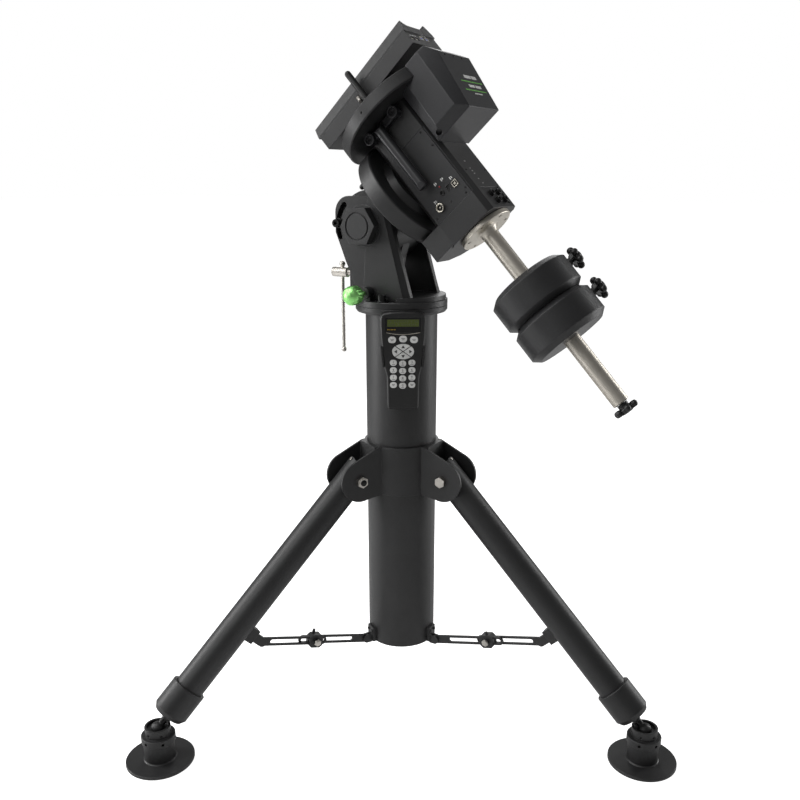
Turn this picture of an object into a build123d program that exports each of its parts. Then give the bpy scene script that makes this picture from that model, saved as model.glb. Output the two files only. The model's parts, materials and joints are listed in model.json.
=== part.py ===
from build123d import *
import os
from math import atan2, cos, hypot, radians, sin

# German equatorial mount on a pier tripod. Millimetres, +Z up, origin on the pier axis at floor level.
# +X points to the pole (north); the sockets, the handle and the hand controller face -Y.

# ---- stand ----
PIER_R = 69.85
PIER_BORE_R = 66.5
PIER_FOOT_Z = 131
HEAD_PLATE_Z = 829
PIER_TOP_Z = 843
HEAD_PLATE_R = 89
LEG_AZIMUTHS = {"north": 0, "west": 120, "east": -120}
HINGE_R = 111
HINGE_Z = 507
BALL_RADIUS_POS = 539
BALL_Z = 70
COLLAR_BOTTOM_Z = 472
COLLAR_TOP_Z = 571
EAR_R = 42
EAR_IN = 31
EAR_OUT = 36
HINGE_BOLT_R = 6
LEG_R = 29
LEG_BORE_R = 26.5
SOCKET_R = 35
BALL_R = 13
FOOT_R = 65
SPREADER_IN = (85.5, 136)
SPREADER_OUT = (322, 196.5)
RUN = 0.05

# ---- head ----
POLE_ELEVATION = 43.2
HEAD_CENTRE = (72.7, 0, 1096.3)
AXLE_X = -43.6
AXLE_Z = 989.9
PLATE_IN = 48
PLATE_OUT = 62
PANEL_OUT = 67
CHEEK_W = 46.5
AZ_SCREW_X = -30
AZ_SCREW_Z = 870
ALT_SCREW_Z = 896.2
SHAFT_R = 25
RACE_R = 38
RA_RING_R = 104.7
RA_RING_LOW = -96.6
RA_RING_HIGH = -64.5
DEC_RING_R = 115
DEC_RING_TOP = -132.5
DEC_RING_LOW = -107.8
HOUSE_U = 52
HOUSE_W = 56
HOUSE_CHAMFER = 9
HOUSE_END = 145
BAR_R = 15.5
BAR_END = 542.5
FLANGE_R = 50.75
WEIGHT_R = 78
WEIGHT_TOPS = (266, 333.5)
WEIGHT_LONG = 67
WEIGHT_KNOB_TURN = -36.5
SADDLE_W = 52
SADDLE_LOW = -157
SADDLE_TOP = -184
CASE_TOP = 98
FRONT_PORTS = ((113, 10), (129, 4), (112, -18), (129, -24))

# ---- hand controller ----
HANDSET_AZIMUTH = -58
HANDSET_TOP = 841
HANDSET_BOTTOM = 657
KEY_FACE = 97.5

POLE = (cos(radians(POLE_ELEVATION)), 0, sin(radians(POLE_ELEVATION)))
DOWN = (sin(radians(POLE_ELEVATION)), 0, -cos(radians(POLE_ELEVATION)))
# head coordinates (u, w, v): u along the pole, w towards the sockets' side, v down the counterweight bar
HEAD = Plane(origin=HEAD_CENTRE, x_dir=POLE, z_dir=DOWN)
# polar coordinates: x along the counterweight bar, z along the pole
POLAR = Plane(origin=HEAD_CENTRE, x_dir=DOWN, z_dir=POLE)

LEG_LONG = hypot(BALL_RADIUS_POS - HINGE_R, BALL_Z - HINGE_Z)
LEG_DIR = ((BALL_RADIUS_POS - HINGE_R) / LEG_LONG, 0, (BALL_Z - HINGE_Z) / LEG_LONG)
# leg coordinates: x tangential, y up and outward across the leg, z down the leg from its hinge
LEG = Plane(origin=(HINGE_R, 0, HINGE_Z), x_dir=(0, 1, 0), z_dir=LEG_DIR)

SPREAD_LONG = hypot(SPREADER_OUT[0] - SPREADER_IN[0], SPREADER_OUT[1] - SPREADER_IN[1])
SPREAD_TILT = atan2(SPREADER_OUT[1] - SPREADER_IN[1], SPREADER_OUT[0] - SPREADER_IN[0])
SPREADER = Plane(
    origin=(SPREADER_IN[0], 0, SPREADER_IN[1]),
    x_dir=(cos(SPREAD_TILT), 0, sin(SPREAD_TILT)),
    z_dir=(0, -1, 0),
)

NODES = {}


# ---- small shape helpers ----
def drum(radius, low, high):
    return Pos(0, 0, (low + high) / 2) * Cylinder(radius, high - low)


def tube(outer, inner, low, high):
    return drum(outer, low, high) - drum(inner, low - 1, high + 1)


def block(x0, x1, y0, y1, z0, z1):
    return Pos((x0 + x1) / 2, (y0 + y1) / 2, (z0 + z1) / 2) * Box(x1 - x0, y1 - y0, z1 - z0)


def rod(start, end, radius):
    axis = Vector(*end) - Vector(*start)
    return Plane(origin=start, z_dir=axis) * drum(radius, 0, axis.length)


def turned(*profile):
    return revolve(Plane.XZ * Polygon(*profile, align=None), Axis.Z)


def prism(plane, points, low, high):
    face = plane.offset(low) * Polygon(*points, align=None)
    return extrude(face, amount=high - low, dir=plane.z_dir)


def side_slab(points, near, far):
    """Outline in x and z, from near to far along -Y."""
    return prism(Plane.XZ, points, near, far)


def both_sides(points, inner, outer):
    return side_slab(points, inner, outer) + side_slab(points, -outer, -inner)


def arc(x, z, radius, start, stop, steps=7):
    """Points on a circle from one angle to another, in degrees."""
    angles = [radians(start + (stop - start) * i / steps) for i in range(steps + 1)]
    return [(x + radius * cos(a), z + radius * sin(a)) for a in angles]


def ball(x, y, z, radius):
    return Pos(x, y, z) * Sphere(radius)


def hexagon(radius, low, high):
    face = Plane.XY.offset(low) * RegularPolygon(radius, 6)
    return extrude(face, amount=high - low, dir=(0, 0, 1))


def star_knob(radius, low, high, lobes):
    body = drum(radius * 0.62, low, high)
    for i in range(lobes):
        arm = block(0, radius * 0.78, -radius * 0.2, radius * 0.2, low, high)
        tip = Pos(radius * 0.78, 0, 0) * drum(radius * 0.22, low, high)
        body += Rot(0, 0, i * 360 / lobes) * (arm + tip)
    return body


def add(name, *shapes):
    solids = [s for shape in shapes for s in shape.solids()]
    NODES[name] = solids[0] if len(solids) == 1 else Compound(children=solids)


# ---- stand ----
def pier():
    add("pier_tube", tube(PIER_R, PIER_BORE_R, PIER_FOOT_Z, HEAD_PLATE_Z))
    head = turned(
        (0, HEAD_PLATE_Z), (80, HEAD_PLATE_Z), (86, HEAD_PLATE_Z + 1.8), (HEAD_PLATE_R, HEAD_PLATE_Z + 6),
        (HEAD_PLATE_R, PIER_TOP_Z - 0.8), (HEAD_PLATE_R - 0.8, PIER_TOP_Z), (20, PIER_TOP_Z), (20, 865),
        (18.5, 866.5), (0, 866.5),
    )
    head += tube(PIER_BORE_R - RUN, 58, 800, HEAD_PLATE_Z + 1)
    head += Pos(AZ_SCREW_X, 0, 0) * drum(6, PIER_TOP_Z - 2, 878)
    for side in (-1, 1):
        head -= Pos(4, side * 79, 0) * drum(5, HEAD_PLATE_Z - 1, PIER_TOP_Z + 1)
    add("pier_head_flange", head)


def collar():
    body = tube(75, PIER_R, COLLAR_BOTTOM_Z, COLLAR_TOP_Z)
    ear = [
        (64.5, COLLAR_BOTTOM_Z), (64.5, COLLAR_TOP_Z), (72, COLLAR_TOP_Z),
        (128.4, 545.2), (HINGE_R, HINGE_Z), (HINGE_R, HINGE_Z - EAR_R),
    ]
    for azimuth in LEG_AZIMUTHS.values():
        for inner in (EAR_IN, -EAR_OUT):
            plate = side_slab(ear, inner, inner + EAR_OUT - EAR_IN)
            y_low = -inner - (EAR_OUT - EAR_IN)
            disc = rod((HINGE_R, y_low, HINGE_Z), (HINGE_R, -inner, HINGE_Z), EAR_R)
            body += Rot(0, 0, azimuth) * (plate + disc)
        wall = block(70.2, 79, -EAR_IN - 1, EAR_IN + 1, COLLAR_BOTTOM_Z, COLLAR_TOP_Z)
        body += Rot(0, 0, azimuth) * wall
        pin = rod((HINGE_R, -50, HINGE_Z), (HINGE_R, 50, HINGE_Z), HINGE_BOLT_R + RUN)
        body -= Rot(0, 0, azimuth) * pin
    body -= drum(PIER_R, COLLAR_BOTTOM_Z - 5, COLLAR_TOP_Z + 5)
    add("leg_collar", body)


def collar_bolts():
    parts = []
    across_y = Plane(origin=(HINGE_R, 0, HINGE_Z), z_dir=(0, 1, 0))
    bolt = drum(HINGE_BOLT_R, -EAR_OUT - 1, EAR_OUT + 11) + hexagon(11, -EAR_OUT - 8, -EAR_OUT)
    nut = hexagon(11.5, EAR_OUT, EAR_OUT + 8) + drum(8.5, EAR_OUT + 7, EAR_OUT + 10)
    nut -= drum(HINGE_BOLT_R, EAR_OUT - 1, EAR_OUT + 12)
    for azimuth in LEG_AZIMUTHS.values():
        parts.append(Rot(0, 0, azimuth) * (across_y * bolt))
        parts.append(Rot(0, 0, azimuth) * (across_y * nut))
    add("collar_hinge_bolts", *parts)


def spreader_pier_brackets():
    parts = []
    r, z = SPREADER_IN
    base = block(60, 76, -12, 12, PIER_FOOT_Z, 163) - drum(PIER_R, 100, 200)
    for low, high in ((-8.4, -4.5), (-0.1, 3.8)):
        base += block(74, r, low, high, z - 9, z + 9)
        base += rod((r, low, z), (r, high, z), 9)
    base += rod((r, -8.4, z), (r, 3.8, z), 3)
    for y in (-7, 7):
        base += rod((75, y, 155), (78.5, y, 155), 3)
    for azimuth in LEG_AZIMUTHS.values():
        parts.append(Rot(0, 0, azimuth) * base)
    add("spreader_pier_brackets", *parts)


def hinge_trim(solid):
    """Rounds the top of a leg so that it clears the collar while the leg folds."""
    cutter = block(30, HINGE_R, -60, 60, 478, 620)
    cutter -= rod((HINGE_R, -70, HINGE_Z), (HINGE_R, 70, HINGE_Z), EAR_IN)
    return solid - cutter


def leg_bracket():
    dx = SPREADER_OUT[0] - HINGE_R
    dz = SPREADER_OUT[1] - HINGE_Z
    along = dx * LEG_DIR[0] + dz * LEG_DIR[2]
    drop = dx * -LEG_DIR[2] + dz * LEG_DIR[0]
    base = block(-10, 10, -46, -20, along - 16, along + 14) - drum(LEG_R, along - 40, along + 40)
    for low, high in ((-3.8, 0.1), (4.5, 8.4)):
        base += block(low, high, drop, -44, along - 9, along + 9)
        base += rod((low, drop, along), (high, drop, along), 9)
    base += rod((-3.8, drop, along), (8.4, drop, along), 3.4)
    return base


def legs():
    bore = rod((-40, 0, 0), (40, 0, 0), HINGE_BOLT_R + RUN)
    leg_tube = hinge_trim(LEG * (tube(LEG_R, LEG_BORE_R, -32, 566) - bore))
    plug = hinge_trim(LEG * (drum(LEG_BORE_R - RUN, -30, 40) - bore))
    screw = LEG * rod((0, LEG_R - 1, -25), (0, LEG_R + 1, -25), 3)
    leg_tube -= LEG * rod((0, LEG_R - 8, -25), (0, LEG_R + 2, -25), 3)
    socket = turned(
        (LEG_R + RUN, 515), (SOCKET_R - 1, 515), (SOCKET_R, 516), (SOCKET_R, 571), (29, 580), (8, 580),
        (8, 588), (6.5, 590), (6.5, LEG_LONG - 5), (0, LEG_LONG - 5), (0, 566.05), (LEG_R + RUN, 566.05),
    )
    socket += ball(0, 0, LEG_LONG, BALL_R)
    bracket = leg_bracket()
    for name, azimuth in LEG_AZIMUTHS.items():
        turn = Rot(0, 0, azimuth)
        add("leg_tube_" + name, turn * leg_tube)
        add("leg_fittings_" + name, turn * plug, turn * screw, turn * (LEG * socket), turn * (LEG * bracket))


def feet():
    barrel = drum(20, 22, 59) + drum(24.5, 58.5, 76)
    barrel -= drum(20.5, BALL_Z, 80)
    barrel -= ball(0, 0, BALL_Z, BALL_R + RUN)
    ring = turned((20, 43.5), (31.3, 43.5), (32.3, 44.5), (32.3, 57.5), (31.3, 58.5), (20, 58.5))
    for i in range(6):
        spin = Rot(0, 0, 30 + i * 60)
        barrel -= spin * rod((22.5, 0, 66), (26, 0, 66), 2.6)
        ring -= spin * rod((27, 0, 51), (34, 0, 51), 3)
    pad = turned(
        (0, 0), (FOOT_R - 1, 0), (FOOT_R, 1), (FOOT_R, 5.3), (FOOT_R - 1, 6.3), (31.5, 6.3), (29.5, 8.3),
        (29.5, 43.5), (20 + RUN, 43.5), (20 + RUN, 9), (0, 9),
    )
    for name, azimuth in LEG_AZIMUTHS.items():
        place = Rot(0, 0, azimuth) * Pos(BALL_RADIUS_POS, 0, 0)
        add("foot_barrel_" + name, place * barrel, place * ring)
        add("foot_pad_" + name, place * pad)


def slot_bar(start, end, height, slot_start, slot_end, slot_height, low, high):
    middle = (start + end) / 2
    bar = Plane.XY.offset(low) * Pos(middle, 0) * SlotOverall(end - start, height)
    solid = extrude(bar, amount=high - low, dir=(0, 0, 1))
    hole_mid = (slot_start + slot_end) / 2
    hole = Plane.XY.offset(low - 1) * Pos(hole_mid, 0) * SlotOverall(slot_end - slot_start, slot_height)
    return solid - extrude(hole, amount=high - low + 2, dir=(0, 0, 1))


def spreaders():
    inner = slot_bar(-9, 161, 18, 35, 156, 9, 0.3, 4.3)
    inner -= drum(3 + RUN, -5, 10)
    clamp = block(110, 140, -14, 14, -9, 9)
    for x, y in ((110, -14), (140, -14), (110, 14), (140, 14)):
        clamp -= Pos(x, y, 0) * Rot(0, 0, 45) * Box(8, 8, 30)
    clamp -= block(100, 150, -9.4, 9.4, -4.6, -0.05)
    inner += clamp
    inner -= Pos(125, 0, 0) * drum(4, -20, 20)
    bolt = Pos(125, 0, 0) * (drum(4, -11, 9.5) + hexagon(7, 9, 13) + hexagon(7, -14, -9))
    thumb = rod((128, 12, 6), (128, 21, 6), 3)
    inner -= thumb
    outer = slot_bar(99.5, SPREAD_LONG + 9, 18, 104, 226, 9, -4.3, -0.3)
    outer -= Pos(SPREAD_LONG, 0, 0) * drum(4, -10, 5)
    for name, azimuth in LEG_AZIMUTHS.items():
        place = Rot(0, 0, azimuth)
        add("spreader_inner_" + name, *[place * (SPREADER * piece) for piece in (inner, bolt, thumb)])
        add("spreader_outer_" + name, place * (SPREADER * outer))


# ---- azimuth base and fork ----
def fork_plates():
    shoulder = arc(-36.6, 993.5, 49.5, 90, 0)
    foot = [(32, 930), (53.4, 860.6), (54, 856)]
    outline = [(-45, 856), (-65, 879), (-86.7, 925.5), (-99.6, 957.3), (-108, 977.2)]
    outline += arc(-78, 1013, 30, 180, 90) + shoulder + foot
    panel = [(-45, 856), (-39, 956), (-40, 1000)] + arc(-36.6, 993.5, 49.5, 85, 0) + foot
    body = both_sides(outline, PLATE_IN, PLATE_OUT) + both_sides(panel, PLATE_OUT - 1, PANEL_OUT)
    for side in (-1, 1):
        corner = (33.4, side * PANEL_OUT, 926)
        lean = Plane(origin=corner, x_dir=(0.963, side * 0.1, 0), z_dir=(-0.267, 0, 0.9636))
        body -= lean * Rot(0, 0, 45) * Box(13, 13, 200)
        body += rod((AXLE_X, side * 60, AXLE_Z), (AXLE_X, side * 68, AXLE_Z), 38)
    return body


def arc_slot(centre_x, centre_z, radius, start, stop, half, near, far):
    """A curved slot around an axis along Y."""
    steps = 14
    cutter = None
    for i in range(steps + 1):
        angle = radians(start + (stop - start) * i / steps)
        x = centre_x + radius * cos(angle)
        z = centre_z + radius * sin(angle)
        piece = rod((x, -far, z), (x, -near, z), half)
        cutter = piece if cutter is None else cutter + piece
    return cutter


def fork():
    body = turned(
        (0, PIER_TOP_Z), (HEAD_PLATE_R - 0.8, PIER_TOP_Z), (HEAD_PLATE_R, PIER_TOP_Z + 0.8),
        (HEAD_PLATE_R, 854), (HEAD_PLATE_R - 1, 855), (0, 855),
    )
    deck = block(-100, 100, -50, 50, 850, 870) + block(34, 100, -80, 90, 850, 870)
    body += drum(86, 854, 863) & deck
    plates = fork_plates() & block(-130, 90, -100, 100, 850, 1060)
    body += plates
    body += block(-86, -66, -PLATE_IN - 1, PLATE_IN + 1, 858, 912)
    body += block(-86, -40, -PLATE_IN - 1, PLATE_IN + 1, 850, 868)
    for side in (-1, 1):
        near, far = sorted((side * 55, side * 88))
        body += rod((AZ_SCREW_X, near, AZ_SCREW_Z), (AZ_SCREW_X, far, AZ_SCREW_Z), 11)
        near, far = sorted((side * 55, side * 82))
        body += block(AZ_SCREW_X - 9, AZ_SCREW_X + 9, near, far, 850, AZ_SCREW_Z)
        body -= rod((AZ_SCREW_X, side * 10, AZ_SCREW_Z), (AZ_SCREW_X, side * 95, AZ_SCREW_Z), 4 + RUN)
        body -= rod((AXLE_X, side * 40, AXLE_Z), (AXLE_X, side * 75, AXLE_Z), 20)
        near, far = (40, 75) if side > 0 else (-75, -40)
        slot = arc_slot(AXLE_X, AXLE_Z, 57.3, 140, 201, 5.6, near, far)
        body -= slot
        for i in range(9):
            swing = radians(side * 87.1 - 12 + 3 * i)
            body -= Pos(79.1 * cos(swing), 79.1 * sin(swing), 0) * drum(5.6, PIER_TOP_Z - 1, 864)
    body -= drum(20 + RUN, PIER_TOP_Z - 1, 870)
    body -= block(AZ_SCREW_X - 8, AZ_SCREW_X + 8, -13, 13, PIER_TOP_Z - 1, 885)
    body -= rod((-95, 0, ALT_SCREW_Z), (-50, 0, ALT_SCREW_Z), 6 + RUN)
    body -= drum(200, PIER_TOP_Z - 30, PIER_TOP_Z)
    add("wedge_fork", body)


def base_bolts():
    parts = []
    for side in (-1, 1):
        bolt = drum(5, HEAD_PLATE_Z + 1, 856) + drum(9.5, 855, 857.2) + drum(7.5, 857, 868)
        bolt -= hexagon(4.2, 862, 870)
        parts.append(Pos(4, side * 79, 0) * bolt)
    add("base_lock_bolts", *parts)


def pivots():
    parts = []
    for side in (-1, 1):
        axis = Plane(origin=(AXLE_X, 0, AXLE_Z), x_dir=(1, 0, 0), z_dir=(0, side, 0))
        stub = drum(20, 40.5, 69) + Rot(0, 0, 3) * hexagon(37, 68, 87.6)
        stub -= drum(25.5, 85.6, 90) - drum(22, 80, 95)
        parts.append(axis * stub)
    add("altitude_pivots", *parts)


def azimuth_knobs():
    for name, side in (("azimuth_knob_east", -1), ("azimuth_knob_west", 1)):
        knob = turned(
            (0, 6.5), (4, 6.5), (4, 94), (6, 94), (6, 101), (4.2, 101), (4.2, 111), (13, 111), (17, 114),
            (17.5, 116), (17.5, 132), (14, 138), (7, 143), (0, 145),
        )
        for i in range(12):
            knob -= Rot(0, 0, i * 30) * Pos(19.2, 0, 0) * drum(3, 108, 136)
        axis = Plane(origin=(AZ_SCREW_X, 0, AZ_SCREW_Z), x_dir=(1, 0, 0), z_dir=(0, side, 0))
        add(name, axis * knob)


def altitude_drive():
    screw = rod((-124, 0, ALT_SCREW_Z), (-23.1, 0, ALT_SCREW_Z), 6) + ball(-23.1, 0, ALT_SCREW_Z, 6)
    head = rod((-157, 0, ALT_SCREW_Z), (-123, 0, ALT_SCREW_Z), 9.7)
    screw += head - rod((-136, 0, 880), (-136, 0, 912), 3.5 + RUN)
    add("altitude_screw", screw)
    bar = rod((-136, 0, 741), (-136, 0, 912), 3.5)
    bar += ball(-136, 0, 741, 5.5) + ball(-136, 0, 912, 5.9)
    bar -= block(-146, -126, -10, 10, 900, 905.95) - rod((-136, 0, 890), (-136, 0, 910), 3.5)
    add("tommy_bar", bar)


# ---- polar unit ----
def ra_housing():
    body = POLAR * (drum(46, -212, -103) + drum(42, -104, -96.8))
    cheeks = rod((AXLE_X, -CHEEK_W, AXLE_Z), (AXLE_X, CHEEK_W, AXLE_Z), 64)
    cheeks &= POLAR * block(-120, 120, -100, 100, -240, -103)
    arm = side_slab(
        [(-15.6, 886), (-15.6, 912), (-28, 936), (-10, 970), (12, 960), (3, 930), (-1, 886)], -12, 12
    )
    body += cheeks + arm
    body -= POLAR * drum(RACE_R, -206, -90)
    body -= POLAR * drum(30, -220, -90)
    for side in (-1, 1):
        body -= rod((AXLE_X, side * 39.5, AXLE_Z), (AXLE_X, side * 50, AXLE_Z), 20 + RUN)
        x, z = lock_bolt_place()
        body -= rod((x, side * 36, z), (x, side * 50, z), 5)
    add("ra_housing", body)


def lock_bolt_place():
    return AXLE_X + 57.3 * cos(radians(176)), AXLE_Z + 57.3 * sin(radians(176))


def altitude_bolts():
    parts = []
    x, z = lock_bolt_place()
    for side in (-1, 1):
        bolt = drum(5, 36.5, PLATE_OUT + 1) + drum(9, PLATE_OUT, 64) + drum(7.5, 63.5, 73)
        bolt -= hexagon(4, 68, 75)
        parts.append(Plane(origin=(x, 0, z), x_dir=(1, 0, 0), z_dir=(0, side, 0)) * bolt)
    add("altitude_lock_bolts", *parts)


def polar_parts():
    low = tube(RACE_R, SHAFT_R + 0.03, -205.9, -188)
    high = tube(RACE_R, SHAFT_R + 0.03, -120, -102)
    add("ra_bearings", POLAR * low, POLAR * high)
    add("ra_shaft", POLAR * tube(SHAFT_R, 14, -208, -HOUSE_U))
    ring = turned(
        (SHAFT_R, RA_RING_LOW), (RA_RING_R - 2, RA_RING_LOW), (RA_RING_R, RA_RING_LOW + 2),
        (RA_RING_R, RA_RING_HIGH - 2), (RA_RING_R - 2, RA_RING_HIGH), (70, RA_RING_HIGH),
        (62, -HOUSE_U - 0.02), (SHAFT_R, -HOUSE_U - 0.02),
    )
    ring -= Rot(0, 0, 127) * rod((RA_RING_R - 5, 0, -80), (RA_RING_R + 5, 0, -80), 2)
    add("ra_ring", POLAR * ring)
    lever = tube(47.5, 42 + RUN, -102.8, -97)
    angle = -152
    spot = Rot(0, 0, angle)
    lever += spot * (block(43.5, 75, -6, 6, -102.8, -97) - drum(42 + RUN, -110, -90))
    handle = drum(6, -102.8, -97) + drum(5, -126, -97) + ball(0, 0, -126, 5)
    lever += spot * (Pos(75, 0, 0) * handle)
    add("ra_clutch_lever", POLAR * lever)


# ---- declination unit ----
def housing_outline():
    u = HOUSE_U
    w = HOUSE_W
    c = HOUSE_CHAMFER
    half = [(u - c, -w), (u, -w + c), (u, w - c), (u - c, w)]
    return half + [(-x, y) for x, y in reversed(half)]


def dec_housing():
    body = prism(Plane.XY, housing_outline(), DEC_RING_LOW, HOUSE_END)
    gear_case = [
        (-HOUSE_U + 9, HOUSE_W), (-91, HOUSE_W - 4), (-91, 6), (-80, -28), (-62, -50), (-40, -HOUSE_W),
    ]
    body += prism(Plane.XY, gear_case, CASE_TOP, HOUSE_END - 2)
    along_pole = Plane(origin=(0, 0, 0), x_dir=(0, 0, 1), z_dir=(1, 0, 0))
    ring_space = along_pole * drum(RA_RING_R + 0.05, -120, -HOUSE_U)
    body -= ring_space - block(-60, -HOUSE_U + 0.01, -45, 45, -40, 40)
    body -= block(-80, -HOUSE_U, -80, 80, -120, 60)
    body -= drum(RACE_R, -110, -20)
    body -= drum(30, -21, 100)
    body -= block(-60, 60, HOUSE_W - 2, HOUSE_W + 5, -45, 99)
    body -= block(HOUSE_U - 1.5, HOUSE_U + 5, -36, 36, 98, 138)
    for v, w in FRONT_PORTS:
        body -= rod((HOUSE_U - 8, w, v), (HOUSE_U + 2, w, v), 6)
    for v, w in ((60, 42), (-60, 42), (60, -42), (-60, -42)):
        body -= rod((HOUSE_U - 2, w * 0.9, v), (HOUSE_U + 1, w * 0.9, v), 2.4)
    add("dec_housing", HEAD * body)


def electronics_cover():
    u = HOUSE_U
    c = HOUSE_CHAMFER
    panel = block(-u + c - 0.01, u - c + 0.01, HOUSE_W - 2, HOUSE_W, -44.8, 98.8)
    for u_pos, v_pos in ((35, -40), (38, -8), (38.5, 87), (33.5, 94), (2, 85.5), (-38, 90)):
        panel -= rod((u_pos, HOUSE_W - 0.8, v_pos), (u_pos, HOUSE_W + 1, v_pos), 2)
    for shape in port_holes():
        panel -= shape
    add("electronics_cover", HEAD * panel)


def port_holes():
    return [
        rod((-20, HOUSE_W - 3, 79.6), (-20, HOUSE_W + 9, 79.6), 6),
        rod((-1, HOUSE_W - 3, 63.6), (-1, HOUSE_W + 9, 63.6), 4.5),
        block(9.5, 19.5, HOUSE_W - 3, HOUSE_W + 9, 59, 70),
        block(22.5, 33.5, HOUSE_W - 3, HOUSE_W + 9, 62.5, 73.5),
        rod((2, HOUSE_W - 3, 52), (2, HOUSE_W + 9, 52), 1.8),
    ]


def port_sockets():
    face = HOUSE_W
    power = rod((-20, face - 2, 79.6), (-20, face + 1, 79.6), 6)
    power += rod((-20, face, 79.6), (-20, face + 4, 79.6), 7.4)
    power -= rod((-20, face + 0.5, 79.6), (-20, face + 6, 79.6), 5.6)
    power += rod((-20, face, 79.6), (-20, face + 2.5, 79.6), 1.6)
    jack = rod((-1, face - 2, 63.6), (-1, face + 0.8, 63.6), 4.5)
    jack -= rod((-1, face - 1.5, 63.6), (-1, face + 3, 63.6), 3)
    data = block(9.5, 19.5, face - 2, face + 0.6, 59, 70) - block(11, 18, face - 1.4, face + 2, 60.5, 68.5)
    usb = block(22.5, 33.5, face - 2, face + 1.2, 62.5, 73.5) - block(24, 32, face - 1.2, face + 3, 64, 72)
    usb += block(26.2, 29.8, face - 1.5, face + 0.8, 66.2, 69.8)
    lamp = rod((2, face - 2, 52), (2, face + 0.6, 52), 1.8)
    parts = [power, jack, data, usb, lamp]
    for v, w in FRONT_PORTS:
        plug = rod((HOUSE_U - 8, w, v), (HOUSE_U + 4, w, v), 6)
        plug -= rod((HOUSE_U, w, v), (HOUSE_U + 6, w, v), 4.2)
        parts.append(plug + rod((HOUSE_U - 1, w, v), (HOUSE_U + 2, w, v), 1.5))
    add("port_sockets", *[HEAD * p for p in parts])


def mirrored(points):
    return points + [(u, -w) for u, w in reversed(points)]


def dec_motor_cover():
    low = mirrored([(HOUSE_U, 60), (70, 71), (116, 71), (131.5, 60)])
    high = mirrored([(HOUSE_U, 60), (73, 71), (121, 71), (150, 60)])
    face_low = Plane.XY.offset(-3.5) * Polygon(*low, align=None)
    face_high = Plane.XY.offset(-133) * Polygon(*high, align=None)
    body = loft([face_low, face_high], ruled=True)
    for side in (-1, 1):
        lower = [(side * 75, -28), (side * 75, 0), (side * 56, 0), (side * 71.5, -22.5)]
        body -= prism(Plane.YZ, lower, 40, 160)
        hole = Plane(origin=(64, side * 64, -11.5), z_dir=(0, side * 0.82, 0.57))
        body -= hole * drum(5.5, -9, 12)
    body -= prism(Plane.XZ, [(134, -134), (165, -134), (165, -85), (147.2, -110)], -80, 80)
    for w in (-24, 16):
        body -= block(139, 152, w, w + 9, -140, -121)
    body -= drum(DEC_RING_R + 0.4, -140, DEC_RING_LOW + 0.2)
    body -= block(HOUSE_U - 5, 110, -52, 52, -104, -16)
    add("dec_motor_cover", HEAD * body)


def carry_handle():
    body = block(-50, 34, HOUSE_W, 66, -104, -91)
    for u in (-41, 24):
        body += rod((u, HOUSE_W, -97.5), (u, 74, -97.5), 10.1)
    side = [
        (HOUSE_W, -104), (68, -104), (80, -94), (80, 27), (77, 37), (63.5, 37), (63.5, -89), (HOUSE_W, -89),
    ]
    grip = prism(Plane.YZ, side, -24, -6)
    front = grip.edges().filter_by(Axis.Z).group_by(Axis.Y)[-1]
    back = [e for e in grip.edges().filter_by(Axis.Z) if abs(e.center().Y - 63.5) < 0.1]
    grip = fillet(list(front) + back, 7)
    body += grip
    bolts = []
    for u in (-41, 24):
        body -= rod((u, HOUSE_W, -97.5), (u, 80, -97.5), 3)
        body -= rod((u, 66, -97.5), (u, 80, -97.5), 7.6)
        bolt = rod((u, HOUSE_W, -97.5), (u, 66, -97.5), 3) + rod((u, 66, -97.5), (u, 71, -97.5), 6.8)
        bolts.append(bolt - rod((u, 68.5, -97.5), (u, 75, -97.5), 3.2))
    add("carry_handle", HEAD * body, *[HEAD * b for b in bolts])


def counterweight_bar():
    body = turned(
        (0, HOUSE_END), (FLANGE_R - 1, HOUSE_END), (FLANGE_R, HOUSE_END + 1), (FLANGE_R, 153.1),
        (FLANGE_R - 1, 154.1), (24, 154.1), (19.5, 156), (17, 159), (BAR_R, 165), (BAR_R, BAR_END - 1.5),
        (BAR_R - 1.5, BAR_END), (0, BAR_END),
    )
    for i in range(6):
        body -= Rot(0, 0, 15 + 60 * i) * Pos(41, 0, 0) * drum(3.2, 149, 156)
    body -= drum(5 + RUN, BAR_END - 30, BAR_END + 1)
    add("counterweight_bar", HEAD * body)


def dec_axis_parts():
    upper = tube(RACE_R, SHAFT_R + 0.03, -107.7, -90)
    lower = tube(RACE_R, SHAFT_R + 0.03, -40, -20.1)
    add("dec_bearings", HEAD * upper, HEAD * lower)
    ring = turned(
        (26, DEC_RING_TOP), (DEC_RING_R - 2, DEC_RING_TOP), (DEC_RING_R, DEC_RING_TOP + 2),
        (DEC_RING_R, DEC_RING_LOW - 2), (DEC_RING_R - 2, DEC_RING_LOW), (26, DEC_RING_LOW),
    )
    ring -= Rot(0, 0, 92) * rod((DEC_RING_R - 5, 0, -120), (DEC_RING_R + 5, 0, -120), 2)
    add("dec_ring", HEAD * ring)
    add("dec_shaft", HEAD * tube(SHAFT_R, 12, -163, -20.1))
    lever = tube(69, 44 + RUN, -142, -134)
    lever += Pos(-2, 62, 0) * (drum(5.8, -212, -136) + ball(0, 0, -212, 5.8))
    pin = Pos(-14.5, 60, 0) * drum(3.4, -173, -142)
    add("dec_clutch_lever", HEAD * lever, HEAD * pin)


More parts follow.
